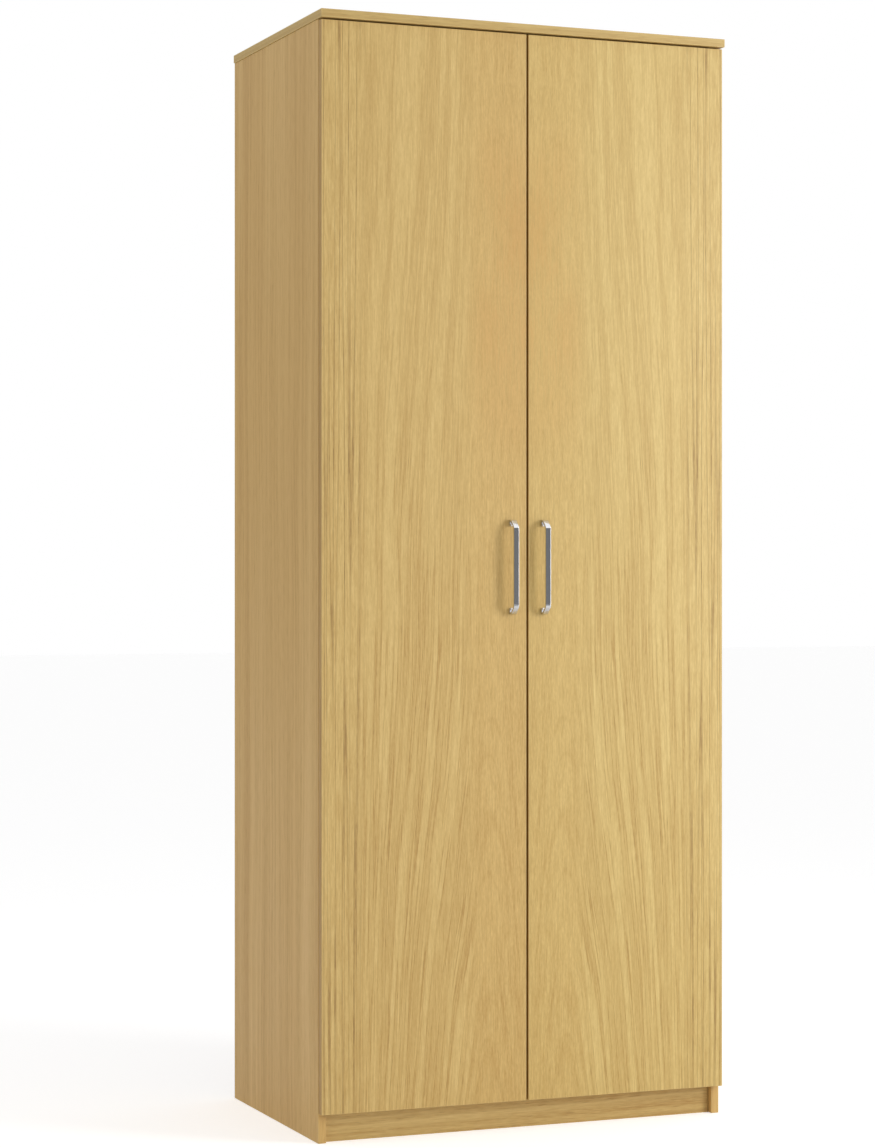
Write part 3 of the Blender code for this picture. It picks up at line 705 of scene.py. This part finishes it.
def paint_hardware():
    """Metal and plastic on the CAD's fittings, and the fine pieces in the same materials."""
    chrome = metal("polished_chrome", linear(226, 227, 230), 0.07)
    nickel = metal("nickel_plate", linear(205, 203, 198), 0.24, 0.1)
    pad = plastic("soft_clear_pad", linear(226, 226, 222), 0.35)
    for name in nodes:
        if name.endswith("_handle") or name == "hanging_rail":
            paint(name, chrome)
        elif "bumper" in name:
            paint(name, pad)
        elif any(word in name for word in ("hinge", "screw", "socket", "pin")):
            paint(name, nickel)
    make_hardware(chrome, nickel, plastic("oak_coloured_cap", linear(206, 176, 118), 0.45))


# ---- Studio -------------------------------------------------------------------------------------
WORLD_LIGHT = 0.55
FLOOR_BOUNCE = 0.10              # the floor's glow on the wardrobe
FLOOR_SEEN = 0.47                # and its glow in the picture
FLOOR_HALF = 30.0


def studio_world():
    """A pale room. Glossy surfaces see a dark band round the horizon and a bright ceiling above."""
    world = bpy.data.worlds.new("studio")
    bpy.context.scene.world = world
    world.use_nodes = True
    tree = world.node_tree
    background = tree.nodes["Background"]
    direction = tree.nodes.new("ShaderNodeTexCoord")
    height = tree.nodes.new("ShaderNodeSeparateXYZ")
    tree.links.new(direction.outputs["Generated"], height.inputs[0])
    band = tree.nodes.new("ShaderNodeMapRange")
    band.interpolation_type = "SMOOTHSTEP"
    limits = {"From Min": 0.10, "From Max": 0.42, "To Min": 0.21, "To Max": 1.25}
    for socket, value in limits.items():
        band.inputs[socket].default_value = value
    tree.links.new(height.outputs["Z"], band.inputs["Value"])
    path = tree.nodes.new("ShaderNodeLightPath")
    glossy = tree.nodes.new("ShaderNodeMix")
    glossy.inputs[2].default_value = WORLD_LIGHT
    tree.links.new(path.outputs["Is Glossy Ray"], glossy.inputs[0])
    tree.links.new(band.outputs[0], glossy.inputs[3])
    seen = tree.nodes.new("ShaderNodeMix")
    seen.inputs[3].default_value = 1.0
    tree.links.new(path.outputs["Is Camera Ray"], seen.inputs[0])
    tree.links.new(glossy.outputs[0], seen.inputs[2])
    tree.links.new(seen.outputs[0], background.inputs["Strength"])
    background.inputs["Color"].default_value = (1, 1, 1, 1)


def studio_floor():
    """A matt pale floor, lifted towards white where the camera sees it."""
    corners = [(-1, -1), (1, -1), (1, 1), (-1, 1)]
    mesh = bpy.data.meshes.new("floor")
    mesh.from_pydata([(x * FLOOR_HALF, y * FLOOR_HALF, 0) for x, y in corners], [], [(0, 1, 2, 3)])
    ground = bpy.data.objects.new("floor", mesh)
    bpy.context.scene.collection.objects.link(ground)
    pale = Finish("pale_floor", roughness=0.9, base_color=(0.88, 0.88, 0.88, 1.0),
                  emission_strength=1.0)
    pale.shader.inputs["Specular IOR Level"].default_value = 0.1
    seen = pale.node("ShaderNodeLightPath")
    grey = [(level, level, level, 1.0) for level in (FLOOR_BOUNCE, FLOOR_SEEN)]
    pale.feed(emission_color=pale.mix(seen, *grey))
    mesh.materials.append(pale.material)


def lamp(name, place, target, size, power):
    """A soft rectangular lamp at place, turned to face target."""
    light = bpy.data.lights.new(name, "AREA")
    light.shape = "RECTANGLE"
    light.size, light.size_y = size
    light.energy = power
    holder = bpy.data.objects.new(name, light)
    bpy.context.scene.collection.objects.link(holder)
    holder.location = place
    holder.rotation_euler = (Vector(target) - Vector(place)).to_track_quat("-Z", "Y").to_euler()
    holder.visible_camera = False


def studio():
    """The room, the floor and two lamps: a key at the front right and a weak fill at the left."""
    bpy.context.scene.view_settings.view_transform = "Standard"
    studio_world()
    studio_floor()
    lamp("key", (2.6, -2.5, 1.65), (0.1, -0.2, 0.95), (1.2, 2.2), 66)
    lamp("side_fill", (-3.4, 0.6, 1.9), (-0.4, 0.0, 1.2), (1.2, 2.0), 10)


def camera():
    """A long lens at mid height, seen from the front left, level, so that uprights stay upright."""
    lens = bpy.data.cameras.new("camera")
    lens.lens = 90.0
    lens.sensor_width = 36.0
    eye = bpy.data.objects.new("camera", lens)
    bpy.context.scene.collection.objects.link(eye)
    eye.location = (-2.0994, -5.0209, 1.0105)
    eye.rotation_euler = (math.radians(90), 0, math.radians(-21.9))
    bpy.context.scene.camera = eye


paint_boards()
paint_hardware()
studio()
camera()
